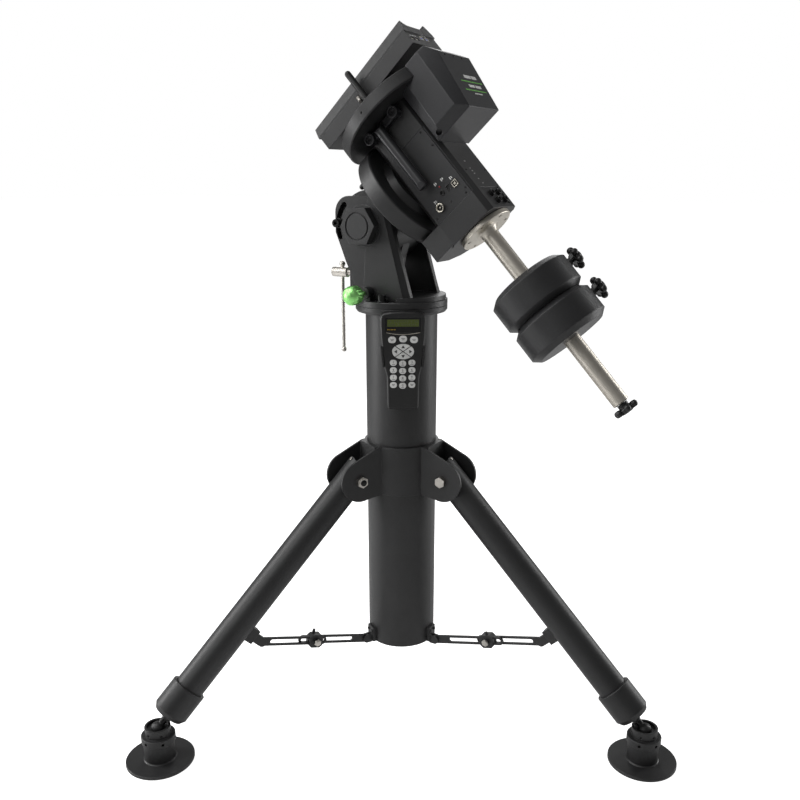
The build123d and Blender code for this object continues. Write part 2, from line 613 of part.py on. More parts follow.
def saddle():
    body = drum(44, SADDLE_LOW, DEC_RING_TOP - 0.1)
    body += block(-125, 121, -SADDLE_W, SADDLE_W, SADDLE_TOP, SADDLE_LOW)
    body -= drum(SHAFT_R, -163, -130)
    for w, v in ((39.5, -169), (23.5, -169), (0, -175.5), (-19, -175.5)):
        body -= block(113, 125, w - 6.3, w + 6.3, v - 4, v + 3.6)
    add("saddle_base", HEAD * body)
    profile = [
        (SADDLE_W, SADDLE_TOP), (SADDLE_W, -188), (43, -207), (40, -208), (34, -203), (24, -199.5),
        (0, -198.5), (-22, -198.5), (-22, SADDLE_TOP),
    ]
    add("saddle_plate", HEAD * prism(Plane.YZ, profile, -128, 122))
    jaw = [
        (-23, SADDLE_TOP - 0.1), (-23, -199.5), (-38, -203), (-46, -212), (-50, -211), (-58, -193),
        (-58, SADDLE_TOP - 0.1),
    ]
    add("saddle_jaw", HEAD * prism(Plane.YZ, jaw, -128, 122))
    knobs = []
    for u in (-70, 61):
        axis = Plane(origin=(u, -58, -188.5), x_dir=(1, 0, 0), z_dir=(0, -1, 0))
        knobs.append(axis * (drum(3.5, 0, 12) + star_knob(13, 11, 24, 5)))
    add("saddle_knobs", *[HEAD * k for k in knobs])


def counterweights():
    for name, top in zip(("upper", "lower"), WEIGHT_TOPS):
        end = top + WEIGHT_LONG
        disc = turned(
            (BAR_R + 0.06, top), (66, top), (WEIGHT_R, top + 10), (WEIGHT_R, end - 10), (66, end),
            (BAR_R + 0.06, end),
        )
        axis = Plane(origin=(0, 0, top + 21.5), x_dir=(0, 0, 1), z_dir=weight_knob_direction())
        disc -= axis * drum(4 + RUN, 10, 90)
        disc -= axis * drum(13, 75.5, 90)
        add("counterweight_" + name, HEAD * disc)
        knob = drum(4, BAR_R + 1, 92) + drum(8, 78, 84) + star_knob(19, 90, 101, 6)
        knob += drum(8, 100, 104)
        add("weight_knob_" + name, HEAD * (axis * knob))
    toe = drum(5, BAR_END - 22, BAR_END + 3) + drum(10, BAR_END + 0.3, BAR_END + 8)
    toe += star_knob(22.5, BAR_END + 7, BAR_END + 18, 6)
    add("toe_saver", HEAD * toe)


def weight_knob_direction():
    turn = radians(WEIGHT_KNOB_TURN)
    return (cos(turn), sin(turn), 0)


# ---- handset ----
def handset_place():
    a = radians(HANDSET_AZIMUTH)
    return Plane(origin=(0, 0, 0), x_dir=(-sin(a), cos(a), 0), z_dir=(cos(a), sin(a), 0))


def key_places():
    """Key centres (across, height, width, tall) on the hand controller's face."""
    keys = [(i * 20.3, 789.6 + (1 - abs(i)) * 1.5, 14.6, 12.2) for i in (-1, 0, 1)]
    for row in range(4):
        for i in (-1, 0, 1):
            keys.append((i * 17.3 - 0.8, 746.6 - row * 14.1 - (1 - abs(i)) * 1.6, 13, 11.2))
    return keys


def handset():
    right = [
        (36, HANDSET_TOP - 3.2), (41, HANDSET_TOP - 7), (42.3, 826), (41.5, 800), (39.5, 777), (35.5, 739),
        (30.5, 719), (29.5, 662), (27.5, HANDSET_BOTTOM),
    ]
    left = [(-x, z) for x, z in reversed(right)]
    crown = [(-22, HANDSET_TOP - 0.8), (0, HANDSET_TOP), (22, HANDSET_TOP - 0.8)]
    place = handset_place()
    body = prism(Plane.XY, right + left + crown, 62, KEY_FACE)
    front = body.faces().sort_by(Axis.Z)[-1]
    body = chamfer(front.edges(), 2.5)
    body -= block(-33, 33, 803.5, 830.5, KEY_FACE - 0.8, KEY_FACE + 1)
    body -= block(-29.5, 29.5, 813.5, 827, KEY_FACE - 1.6, KEY_FACE + 1)
    caps = []
    for x, y, wide, tall in key_places():
        body -= key_shape(x, y, wide + 0.1, tall + 0.1, KEY_FACE - 4, KEY_FACE + 1)
        caps.append(key_shape(x, y, wide, tall, KEY_FACE - 2.5, KEY_FACE + 1.2))
    body -= Pos(0, 767.6, KEY_FACE - 1.5) * oval(20.35, 14.35, 5)
    caps.append(Pos(0, 767.6, KEY_FACE - 0.65) * (oval(20.3, 14.3, 3.7) - cross_cut()))
    body = place * body - drum(PIER_R, 500, 900) - drum(HEAD_PLATE_R + 0.1, HEAD_PLATE_Z - 0.1, 900)
    add("handset_case", body)
    add("handset_keys", *[place * c for c in caps])


def key_shape(x, y, wide, tall, low, high):
    face = Plane.XY.offset(low) * Pos(x, y) * RectangleRounded(wide, tall, tall * 0.47)
    return extrude(face, amount=high - low, dir=(0, 0, 1))


def oval(half_wide, half_tall, thick):
    face = Plane.XY.offset(-thick / 2) * Ellipse(half_wide, half_tall)
    return extrude(face, amount=thick, dir=(0, 0, 1))


def cross_cut():
    return Rot(0, 0, 35) * Box(60, 1.6, 10) + Rot(0, 0, -35) * Box(60, 1.6, 10)


def write_parts():
    os.makedirs("parts", exist_ok=True)
    for name, shape in NODES.items():
        export_step(shape, "parts/" + name + ".step")


pier()
collar()
collar_bolts()
spreader_pier_brackets()
legs()
feet()
spreaders()
fork()
base_bolts()
pivots()
azimuth_knobs()
altitude_drive()
ra_housing()
altitude_bolts()
polar_parts()
dec_housing()
electronics_cover()
port_sockets()
dec_motor_cover()
carry_handle()
counterweight_bar()
dec_axis_parts()
saddle()
counterweights()
handset()
write_parts()
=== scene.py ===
import json
import math

import bmesh
import bpy
from mathutils import Matrix, Vector


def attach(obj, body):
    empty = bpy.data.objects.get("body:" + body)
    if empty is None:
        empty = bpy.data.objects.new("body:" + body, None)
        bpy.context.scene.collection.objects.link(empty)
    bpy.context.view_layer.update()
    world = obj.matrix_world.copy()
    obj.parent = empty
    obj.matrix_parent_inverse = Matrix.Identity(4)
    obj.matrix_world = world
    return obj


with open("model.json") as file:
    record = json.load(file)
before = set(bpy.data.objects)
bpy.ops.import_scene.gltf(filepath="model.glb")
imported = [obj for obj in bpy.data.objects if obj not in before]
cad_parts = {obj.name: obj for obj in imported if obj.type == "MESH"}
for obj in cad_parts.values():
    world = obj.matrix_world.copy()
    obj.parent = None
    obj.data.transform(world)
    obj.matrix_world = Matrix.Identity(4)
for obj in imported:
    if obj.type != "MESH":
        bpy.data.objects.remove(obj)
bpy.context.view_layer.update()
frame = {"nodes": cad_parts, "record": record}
NODES = frame["nodes"]

MM = 0.001

# Head coordinates (u, w, v) are millimetres from HEAD_CENTRE: u along POLE, w along SIDE, v along DOWN.
ELEVATION = math.radians(43.2)
POLE = Vector((math.cos(ELEVATION), 0, math.sin(ELEVATION)))
DOWN = Vector((math.sin(ELEVATION), 0, -math.cos(ELEVATION)))
SIDE = Vector((0, -1, 0))
HEAD_CENTRE = Vector((0.0727, 0, 1.0963))
HOUSE_U = 52
HOUSE_W = 56
COVER_LEAN = 18.5 / 129.5
RA_RIM_RADIUS = 104.7
DEC_RIM_RADIUS = 115

# The hand controller faces this way on the pier; KEY_FACE is its face's distance from the pier's axis.
HANDSET_AZIMUTH = math.radians(-58)
KEY_FACE = 97.5
KEY_COLUMN_GAP = 17.3
KEY_ROW_GAP = 14.1

# The front leg's hinge pin and foot ball, in metres; the other legs are turned copies.
LEGS = (("north", 0), ("west", 120), ("east", -120))
LEG_HINGE = Vector((0.111, 0, 0.507))
FOOT_BALL = Vector((0.539, 0, 0.070))

# Each counterweight's upper face along the bar, and its clamp screw's place and direction.
WEIGHT_TOPS = (("upper", 266), ("lower", 333.5))
WEIGHT_SCREW_BELOW_TOP = 21.5
WEIGHT_SCREW_TURN = math.radians(-36.5)

FLOOR_GLOW = 0.88
WORLD_LIGHT = 0.18

SENSOR_WIDTH = 36.0
LENS = 38.9007
LENS_SHIFT = (-0.001875, 0.072125)
CAMERA_PLACE = (0.8507, -1.4559, 1.0744)
CAMERA_TURN = (math.radians(72.07), 0, math.radians(30.3))


def frame_at(x, y, z, place):
    """Matrix with these axes and this origin."""
    m = Matrix((x, y, z)).transposed().to_4x4()
    m.translation = place
    return m


def add_object(name, data):
    obj = bpy.data.objects.new(name, data)
    bpy.context.scene.collection.objects.link(obj)
    return obj


def head(u, w, v):
    """World point from head coordinates in millimetres."""
    return HEAD_CENTRE + (POLE * u + SIDE * w + DOWN * v) * MM


def head_frame(u, w, v, x_axis, y_axis):
    """Matrix at a head point whose local x and y run along two head directions."""
    x = (POLE * x_axis[0] + SIDE * x_axis[1] + DOWN * x_axis[2]).normalized()
    y = (POLE * y_axis[0] + SIDE * y_axis[1] + DOWN * y_axis[2]).normalized()
    return frame_at(x, y, x.cross(y), head(u, w, v))


def handset_frame(x, z, out):
    """Matrix on the hand controller: x across it, z up the pier, out from the pier's axis."""
    across = Vector((-math.sin(HANDSET_AZIMUTH), math.cos(HANDSET_AZIMUTH), 0))
    up = Vector((0, 0, 1))
    normal = Vector((math.cos(HANDSET_AZIMUTH), math.sin(HANDSET_AZIMUTH), 0))
    return frame_at(across, up, normal, (across * x + up * z + normal * out) * MM)


# ---- materials ----
class Nodes:
    """Short names for building a node tree."""

    def __init__(self, name):
        self.mat = bpy.data.materials.new(name)
        self.mat.use_nodes = True
        self.tree = self.mat.node_tree
        self.out = self.tree.nodes["Principled BSDF"]

    def add(self, kind, **values):
        node = self.tree.nodes.new("ShaderNode" + kind)
        for key, value in values.items():
            setattr(node, key, value)
        return node

    def link(self, a, b):
        self.tree.links.new(a, b)

    def noise(self, vector, scale, detail=2.0, rough=0.5):
        node = self.add("TexNoise")
        node.inputs["Scale"].default_value = scale
        node.inputs["Detail"].default_value = detail
        node.inputs["Roughness"].default_value = rough
        self.link(vector, node.inputs["Vector"])
        return node.outputs["Fac"]

    def ramp(self, value, low, high, to_low, to_high):
        node = self.add("MapRange")
        for key, number in (("From Min", low), ("From Max", high), ("To Min", to_low), ("To Max", to_high)):
            node.inputs[key].default_value = number
        self.link(value, node.inputs["Value"])
        return node.outputs["Result"]

    def mix(self, fac, a, b):
        node = self.add("Mix", data_type="RGBA")
        for socket, item in ((node.inputs[6], a), (node.inputs[7], b)):
            if isinstance(item, tuple):
                socket.default_value = (*item, 1)
            else:
                self.link(item, socket)
        self.link(fac, node.inputs[0])
        return node.outputs[2]

    def math(self, kind, a, b):
        node = self.add("Math", operation=kind)
        for socket, item in zip(node.inputs, (a, b)):
            if isinstance(item, (int, float)):
                socket.default_value = item
            else:
                self.link(item, socket)
        return node.outputs[0]

    def edges(self, radius):
        """A mask that is high along sharp edges, and the rounded normal."""
        bevel = self.add("Bevel", samples=4)
        bevel.inputs["Radius"].default_value = radius
        geometry = self.add("NewGeometry")
        dot = self.add("VectorMath", operation="DOT_PRODUCT")
        self.link(bevel.outputs["Normal"], dot.inputs[0])
        self.link(geometry.outputs["Normal"], dot.inputs[1])
        mask = self.ramp(dot.outputs["Value"], 1.0, 0.8, 0.0, 1.0)
        return mask, bevel.outputs["Normal"]

    def bump(self, height, strength, distance, normal=None):
        node = self.add("Bump")
        node.inputs["Strength"].default_value = strength
        node.inputs["Distance"].default_value = distance
        self.link(height, node.inputs["Height"])
        if normal is not None:
            self.link(normal, node.inputs["Normal"])
        self.link(node.outputs["Normal"], self.out.inputs["Normal"])

    def place(self):
        return self.add("NewGeometry").outputs["Position"]


def coat(name, colour, rough, grain, bump, edge=0.0012, highlight_amount=0.5, metal=0.0, spec=0.5):
    """Powder coat or moulded plastic: fine grain, cloudy colour, and a painted highlight that lightens sharp
    edges, broken up by noise.
    """
    n = Nodes(name)
    where = n.place()
    fine = n.noise(where, grain, 3.0)
    cloud = n.noise(where, 14.0, 3.0)
    speck = n.noise(where, grain * 0.45, 2.0)
    mask, rounded = n.edges(edge)
    # Painted highlight: sharp edges get a lighter base colour, broken up by noise.
    edge_highlight = n.math("MULTIPLY", mask, n.ramp(n.noise(where, 90.0, 4.0), 0.3, 0.7, 0.25, 1.0))
    light = tuple(min(1.0, c * 1.35 + 0.004) for c in colour)
    dark = tuple(c * 0.78 for c in colour)
    base = n.mix(n.ramp(cloud, 0.35, 0.65, 0.0, 1.0), dark, colour)
    base = n.mix(n.ramp(speck, 0.55, 0.75, 0.0, 0.5), base, light)
    highlight_colour = tuple(min(1.0, c * 2.0 + 0.045) for c in colour)
    base = n.mix(n.math("MULTIPLY", edge_highlight, highlight_amount), base, highlight_colour)
    n.link(base, n.out.inputs["Base Color"])
    n.link(n.ramp(fine, 0.3, 0.7, rough - 0.06, rough + 0.08), n.out.inputs["Roughness"])
    n.out.inputs["Metallic"].default_value = metal
    n.out.inputs["Specular IOR Level"].default_value = spec
    n.bump(fine, bump, 0.0004, rounded)
    return n.mat


def metal(name, colour, rough, grain_axis=None, grain=2500.0, strength=0.12, edge=0.0008, stain=0.2):
    """Metal with turning marks around grain_axis, or a fine random grain."""
    n = Nodes(name)
    where = n.place()
    if grain_axis is None:
        lines = n.noise(where, grain, 2.0)
    else:
        dot = n.add("VectorMath", operation="DOT_PRODUCT")
        n.link(where, dot.inputs[0])
        dot.inputs[1].default_value = grain_axis
        spread = n.add("CombineXYZ")
        n.link(dot.outputs["Value"], spread.inputs["X"])
        lines = n.noise(spread.outputs[0], grain, 3.0)
    cloud = n.noise(where, 30.0, 4.0)
    mask, rounded = n.edges(edge)
    dark = tuple(c * (1 - stain) for c in colour)
    base = n.mix(n.ramp(cloud, 0.35, 0.65, 0.0, 1.0), dark, colour)
    # Painted highlight: sharp edges get a lighter base colour.
    base = n.mix(n.math("MULTIPLY", mask, 0.5), base, tuple(min(1.0, c * 1.2) for c in colour))
    n.link(base, n.out.inputs["Base Color"])
    n.out.inputs["Metallic"].default_value = 1.0
    n.link(n.ramp(lines, 0.25, 0.75, rough - 0.07, rough + 0.1), n.out.inputs["Roughness"])
    n.bump(lines, strength, 0.0002, rounded)
    return n.mat


def glow(name, colour, strength):
    n = Nodes(name)
    where = n.place()
    level = n.ramp(n.noise(where, 60.0, 2.0), 0.3, 0.7, 0.7, 1.0)
    base = n.mix(level, tuple(c * 0.7 for c in colour), colour)
    n.link(base, n.out.inputs["Base Color"])
    n.link(base, n.out.inputs["Emission Color"])
    n.out.inputs["Emission Strength"].default_value = strength
    n.out.inputs["Roughness"].default_value = 0.25
    return n.mat


COAT = coat("black powder coat", (0.0195, 0.0195, 0.020), 0.44, 1500.0, 0.30, 0.0014, 0.7, spec=0.5)
COAT_FINE = coat("black cast coat", (0.0165, 0.0165, 0.017), 0.42, 2300.0, 0.22, 0.0014, 0.75, spec=0.5)
PANEL = coat("black panel", (0.015, 0.015, 0.016), 0.40, 2600.0, 0.14, 0.0008, 0.7, spec=0.5)
COVER = coat("moulded cover", (0.0165, 0.0165, 0.0185), 0.33, 1900.0, 0.14, 0.0028, 0.9, spec=0.5)
PLASTIC = coat("black moulded plastic", (0.010, 0.010, 0.010), 0.38, 1600.0, 0.12, 0.0015)
GLOSS = coat("glossy bezel", (0.006, 0.006, 0.006), 0.12, 1200.0, 0.02, 0.0004, 0.3)
RUBBER = coat("black rubber", (0.009, 0.009, 0.009), 0.60, 1300.0, 0.2, 0.001)
BLACK_STEEL = coat("blackened steel", (0.016, 0.016, 0.016), 0.32, 2400.0, 0.1, 0.0009, 0.8, 0.6)
WEIGHT = coat("weight coat", (0.0185, 0.0185, 0.0195), 0.42, 1100.0, 0.32, 0.003, 0.6, spec=0.5)
WHITE = coat("white key", (0.80, 0.80, 0.78), 0.42, 900.0, 0.05, 0.0012, 0.2)
INK = coat("dark ink", (0.05, 0.05, 0.05), 0.5, 1500.0, 0.05, 0.0004)
PRINT = coat("white print", (0.75, 0.75, 0.73), 0.5, 1500.0, 0.05, 0.0002)
GREEN_PRINT = coat("green print", (0.16, 0.55, 0.07), 0.45, 1500.0, 0.05, 0.0002)
BLUE = coat("blue insert", (0.02, 0.12, 0.62), 0.35, 900.0, 0.05, 0.0003)
AMBER = coat("amber mark", (0.34, 0.22, 0.02), 0.5, 900.0, 0.03, 0.0002)
RED = glow("red lamp", (0.25, 0.01, 0.01), 0.05)
GREEN_KNOB = metal("green anodised", (0.40, 0.92, 0.30), 0.42, None, 2600.0, 0.08, 0.0012, 0.08)
STAINLESS = metal("turned stainless", (0.66, 0.62, 0.55), 0.40, tuple(DOWN), 2600.0, 0.04, 0.0004, 0.14)
BRIGHT = metal("bright steel", (0.66, 0.63, 0.58), 0.32, None, 1800.0, 0.08, 0.0010, 0.3)
SHELL = metal("connector shell", (0.70, 0.66, 0.57), 0.30, None, 1600.0, 0.1, 0.0005, 0.2)
GROUND = metal("ground steel", (0.5, 0.5, 0.5), 0.25, tuple(POLE), 2600.0, 0.1, 0.0008, 0.1)

LOOKS = {
    "black_coat": COAT,
    "bright_steel": BRIGHT,
    "black_steel": BLACK_STEEL,
    "green_anodised": GREEN_KNOB,
    "bearing_steel": GROUND,
    "black_panel": PANEL,
    "socket_metal": SHELL,
    "stainless": STAINLESS,
    "weight_iron": WEIGHT,
    "black_plastic": PLASTIC,
    "white_keys": WHITE,
}
OWN_LOOK = {
    "dec_motor_cover": COVER,
    "wedge_fork": COAT_FINE,
    "ra_ring": COAT_FINE,
    "dec_ring": COAT_FINE,
    "dec_housing": COAT_FINE,
    "saddle_base": COAT_FINE,
    "saddle_plate": COAT_FINE,
    "saddle_jaw": COAT_FINE,
    "carry_handle": COVER,
    "port_sockets": PLASTIC,
}
for part in frame["record"]["subparts"]:
    node = NODES[part["node"]]
    look = OWN_LOOK.get(part["node"], LOOKS[part["material_slot"]])
    node.data.materials.clear()
    node.data.materials.append(look)


# ---- mesh pieces ----
def piece(name, mesh, material, body):
    obj = add_object(name, mesh)
    obj.data.materials.append(material)
    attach(obj, body)
    return obj


def from_bmesh(name, bm, material, body, smooth=True):
    bm.normal_update()
    mesh = bpy.data.meshes.new(name)
    bm.to_mesh(mesh)
    bm.free()
    for face in mesh.polygons:
        face.use_smooth = smooth
    return piece(name, mesh, material, body)


def add_plate(bm, matrix, wide, tall, thick, bevel=0.15, segments=2):
    """A bevelled slab standing on the matrix's xy plane, in millimetres."""
    made = bmesh.ops.create_cube(bm, size=1.0)
    verts = made["verts"]
    for v in verts:
        v.co.x *= wide * MM
        v.co.y *= tall * MM
        v.co.z = (v.co.z + 0.5) * thick * MM
    edges = list({e for v in verts for e in v.link_edges})
    if bevel > 0:
        made = bmesh.ops.bevel(
            bm, geom=edges, offset=bevel * MM, segments=segments, affect="EDGES", profile=0.5
        )
        verts = list({v for f in made["faces"] for v in f.verts} | {v for v in verts if v.is_valid})
    bmesh.ops.transform(bm, matrix=matrix, verts=verts)


def add_lathe(bm, matrix, profile, steps=32, ring=False):
    """A turned solid about the matrix's z axis from (radius, height) pairs in millimetres.

    A ring joins its last pair to its first, so its middle stays open.
    """
    loops = []
    for radius, height in profile:
        loop = []
        for i in range(steps):
            a = 2 * math.pi * i / steps
            spot = Vector((radius * math.cos(a), radius * math.sin(a), height)) * MM
            loop.append(bm.verts.new(matrix @ spot))
        loops.append(loop)
    pairs = list(zip(loops, loops[1:]))
    if ring:
        pairs.append((loops[-1], loops[0]))
    for low, high in pairs:
        for i in range(steps):
            j = (i + 1) % steps
            bm.faces.new((low[i], low[j], high[j], high[i]))
    if not ring:
        bm.faces.new(list(reversed(loops[0])))
        bm.faces.new(loops[-1])


def add_polygon(bm, matrix, points, thick):
    low = [bm.verts.new(matrix @ Vector((x * MM, y * MM, 0))) for x, y in points]
    high = [bm.verts.new(matrix @ Vector((x * MM, y * MM, thick * MM))) for x, y in points]
    bm.faces.new(list(reversed(low)))
    bm.faces.new(high)
    for i in range(len(points)):
        j = (i + 1) % len(points)
        bm.faces.new((low[i], low[j], high[j], high[i]))


def bars(name, matrix_of, rows, material, body, thick=0.12):
    """Small printed bars that stand in for lettering: rows of (x, y, length, height)."""
    bm = bmesh.new()
    for x, y, length, height in rows:
        add_plate(bm, matrix_of(x, y), length, height, thick, 0.05, 1)
    return from_bmesh(name, bm, material, body, False)


def screws(name, frames, radius, material, body):
    bm = bmesh.new()
    for m in frames:
        add_lathe(bm, m, [(radius, 0.0), (radius, 0.55), (radius * 0.86, 0.9), (radius * 0.5, 0.95),
                          (radius * 0.48, 0.35), (0.05, 0.3)], 24)
    return from_bmesh(name, bm, material, body)


def side_face(u, v, out=HOUSE_W):
    return head_frame(u, out, v, (1, 0, 0), (0, 0, -1))


# ---- hand controller ----
def strip(bm, points, place, width, thick):
    """A thin raised line through points on a face."""
    for (x0, y0), (x1, y1) in zip(points, points[1:]):
        turn = Matrix.Rotation(math.atan2(y1 - y0, x1 - x0), 4, "Z")
        m = place((x0 + x1) / 2, (y0 + y1) / 2) @ turn
        add_plate(bm, m, math.hypot(x1 - x0, y1 - y0) + 0.1, width, thick, 0.0)


def dress_handset():
    body = "pier"
    bm = bmesh.new()
    frame_bars = [(0, 828.7, 65.4, 3.0), (0, 808.6, 65.4, 9.6)]
    frame_bars += [(31.3, 820.3, 2.9, 13.6), (-31.3, 820.3, 2.9, 13.6)]
    for x, z, wide, tall in frame_bars:
        add_plate(bm, handset_frame(x, z, KEY_FACE - 0.8), wide, tall, 0.6, 0.15, 2)
    from_bmesh("handset_bezel", bm, GLOSS, body, False)
    bm = bmesh.new()
    add_plate(bm, handset_frame(0, 820.25, KEY_FACE - 1.6), 58.6, 13.1, 0.45, 0.15, 2)
    from_bmesh("handset_lcd", bm, glow("green lcd", (0.072, 0.092, 0.020), 0.12), body, False)
    rows = []
    for row in range(2):
        for i in range(16):
            if (i * 7 + row * 5) % 11 not in (0, 3):
                rows.append((-26 + i * 3.45, 823.1 - row * 5.6, 2.0, 3.6))
    bars("handset_lcd_cells", lambda x, y: handset_frame(x, y, KEY_FACE - 1.15), rows,
         coat("lcd cell", (0.048, 0.062, 0.014), 0.4, 900.0, 0.03, 0.0002), body, 0.05)
    # Painted highlight: a thin bright metal strip along the bezel's lower edge stands in for the highlight
    # on that edge.
    arc = []
    for i in range(25):
        t = -1 + 2 * i / 24
        arc.append((t * 31, 799.3 + 3.6 * t * t))
    bm = bmesh.new()
    strip(bm, arc, lambda x, y: handset_frame(x, y, KEY_FACE - 0.02), 1.0, 0.3)
    from_bmesh("handset_bezel_edge_highlight", bm, SHELL, body, False)
    marks = [(-28.0, 808.4, 2.2, 2.4), (-24.6, 808.2, 2.6, 1.8)]
    marks += [(-20.4, 808.2, 4.0, 1.8), (-15.6, 808.2, 3.4, 1.8)]
    bars("handset_badge_mark", lambda x, y: handset_frame(x, y, KEY_FACE - 0.22), marks, AMBER, body)
    bm = bmesh.new()
    for side in (-1, 1):
        wedge = [(side * x, z) for x, z in ((37.6, 777), (41.6, 777), (38.2, 738), (34.6, 738))]
        add_polygon(bm, handset_frame(0, 0, KEY_FACE - 11), wedge if side < 0 else wedge[::-1], 11.7)
        for i in range(5):
            z = 745 + i * 6.4
            x = side * (36.8 + (z - 745) * 0.08)
            add_plate(bm, handset_frame(x, z, KEY_FACE + 0.5), 2.6, 1.6, 0.5, 0.2, 1)
    from_bmesh("handset_side_grips", bm, RUBBER, body, False)


def key_marks():
    body = "handset_keys"
    digits = ["1", "2", "3", "4", "5", "6", "7", "8", "9", None, "0", None]
    lines = []
    for row in range(4):
        for col in (-1, 0, 1):
            digit = digits[row * 3 + col + 1]
            x = col * KEY_COLUMN_GAP - 0.8
            z = 746.6 - row * KEY_ROW_GAP - (1 - abs(col)) * 1.6
            if digit is None:
                lines += [(x, z + 1.2, 5.5, 0.9), (x, z - 1.2, 3.6, 0.9)]
                continue
            lines.append((x, z - 3.1, 5.6, 0.8))
            curve = bpy.data.curves.new(f"digit_{digit}", "FONT")
            curve.body = digit
            curve.size = 6.2 * MM
            curve.extrude = 0.06 * MM
            curve.align_x = "CENTER"
            curve.align_y = "CENTER"
            obj = add_object(f"key_digit_{digit}", curve)
            obj.matrix_world = handset_frame(x, z + 0.7, KEY_FACE + 1.28)
            curve.materials.append(INK)
            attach(obj, body)
    for i in (-1, 0, 1):
        z = 789.6 + (1 - abs(i)) * 1.5
        lines += [(i * 20.3, z + 1.1, 7.0, 0.9), (i * 20.3, z - 1.2, 4.8, 0.9)]
    bars("key_marks_lines", lambda a, b: handset_frame(a, b, KEY_FACE + 1.2), lines, INK, body)
    bm = bmesh.new()
    for k in range(4):
        a = k * math.pi / 2
        reach = 13.5 if k % 2 == 0 else 8.6
        m = handset_frame(reach * math.cos(a), 767.6 + reach * math.sin(a), KEY_FACE + 1.2)
        add_polygon(bm, m @ Matrix.Rotation(a, 4, "Z"), [(3.3, 0), (-2.2, 3.5), (-2.2, -3.5)], 0.12)
    from_bmesh("pad_arrows", bm, INK, body, False)


# ---- declination unit ----
def fix_out(m):
    """Turns a frame over when its z axis points against the pole."""
    if m.col[2].xyz.dot(POLE) < 0:
        m = m @ Matrix.Rotation(math.pi, 4, "X")
    return m


def front_face(w, v, u=HOUSE_U):
    return fix_out(head_frame(u, w, v, (0, -1, 0), (0, 0, -1)))


def cover_face(w, v):
    """Frame on the motor cover's sloping front, y up along the slope."""
    u = 131.5 + (-3.5 - v) * COVER_LEAN
    return fix_out(head_frame(u, w, v, (0, -1, 0), (COVER_LEAN, 0, -1)))


def dress_dec_unit():
    body = "dec_unit"
    places = [(35, -40), (38, -8), (38.5, 87), (33.5, 94), (2, 85.5), (-38, 90)]
    frames = [side_face(u, v, HOUSE_W - 0.8) for u, v in places]
    screws("panel_screws", frames, 1.9, BLACK_STEEL, body)
    bm = bmesh.new()
    for u, v in ((-1.5, 43.2), (13.5, 45.5), (28, 55.5), (-21.4, 65.8)):
        for step, long in ((-1.7, 5.4), (1.5, 3.6)):
            add_plate(bm, side_face(u + step, v), 1.7, long, 0.12, 0.03, 1)
    from_bmesh("socket_label_bars", bm, PRINT, body, False)
    front = [(40, 17, 6), (56, 17, 4.5), (62, 16, 4.5), (68, 15.5, 4.5), (80, 16, 5), (90, 12, 4)]
    bars("front_label_bars", lambda v, w: front_face(w, v), [(v, w, long, 1.4) for v, w, long in front],
         PRINT, body)
    dress_sockets(body)
    dress_cover(body)
    bm = bmesh.new()
    socket = [(2, -4.5), (2, -1.0), (1.2, -0.9), (0.1, -2.4)]
    add_lathe(bm, rim_frame_polar(-80, 127), socket, 20)
    add_lathe(bm, rim_frame_dec(-120, 92), socket, 20)
    from_bmesh("ring_set_screws", bm, BLACK_STEEL, body)


def dress_sockets(body):
    bm = bmesh.new()
    collar = [(7.6, -3.6), (7.75, 0.1), (7.3, 0.5), (5.6, 0.4), (5.4, -3.0)]
    add_lathe(bm, side_face(-20, 79.6, HOUSE_W + 4), collar, 40, True)
    add_lathe(bm, side_face(-20, 79.6, HOUSE_W + 2.4), [(1.55, 0), (1.55, 0.5), (0.9, 0.8), (0.1, 0.85)], 16)
    from_bmesh("power_socket_ring", bm, SHELL, body)
    bm = bmesh.new()
    out = HOUSE_W + 1.15
    frame_bars = [(28, 62.9, 11.4, 1.3), (28, 73.1, 11.4, 1.3), (22.9, 68, 1.3, 11.4), (33.1, 68, 1.3, 11.4)]
    for u, v, wide, tall in frame_bars:
        add_plate(bm, side_face(u, v, out), wide, tall, 0.5, 0.15, 1)
    add_plate(bm, side_face(28, 68, HOUSE_W + 0.75), 4.6, 4.2, 0.5, 0.15, 1)
    from_bmesh("data_socket_frame", bm, SHELL, body, False)
    bm = bmesh.new()
    small_rim = [(4.4, 0), (4.3, 0.4), (3.2, 0.45), (3.1, -0.8)]
    add_lathe(bm, side_face(-1, 63.6, HOUSE_W + 0.75), small_rim, 32, True)
    for v, w in ((113, 10), (129, 4), (112, -18), (129, -24)):
        rim = [(6.0, -2.5), (6.1, 0.1), (5.7, 0.5), (4.5, 0.45), (4.3, -2.5)]
        add_lathe(bm, front_face(w, v, HOUSE_U + 4), rim, 32, True)
        for k in range(3):
            turn = Matrix.Rotation(math.radians(90 + 120 * k), 4, "Z") @ Matrix.Translation((0.0026, 0, 0))
            add_lathe(bm, front_face(w, v, HOUSE_U - 0.1) @ turn, [(0.5, 0), (0.5, 2.2), (0.1, 2.5)], 10)
    from_bmesh("connector_rims", bm, BLACK_STEEL, body)
    bm = bmesh.new()
    add_lathe(bm, side_face(2, 52, HOUSE_W + 0.55), [(1.7, 0), (1.5, 0.5), (0.8, 0.9), (0.1, 1.0)], 20)
    from_bmesh("power_lamp", bm, RED, body)


def dress_cover(body):
    lines = [(-9.5, -56, 82, 2.0), (-7.5, -38.5, 82, 2.0)]
    bars("cover_green_lines", cover_face, lines, GREEN_PRINT, body)
    plain = [(-2, -66, 26, 6.5), (-27, -66, 20, 6.5), (0, -47.2, 22, 5.5), (-25, -47.2, 22, 5.5)]
    plain.append((-10, -32.2, 30, 2.2))
    bars("cover_plain_bars", cover_face, plain, PRINT, body)
    bm = bmesh.new()
    for w in (38, 6, -26):
        head_shape = [(2.0, -1.0), (2.0, 0.4), (1.6, 0.7), (1.2, 0.7), (1.1, -0.4), (0.1, -0.5)]
        add_lathe(bm, cover_face(w, -106), head_shape, 20)
    from_bmesh("cover_screws", bm, BLACK_STEEL, body)


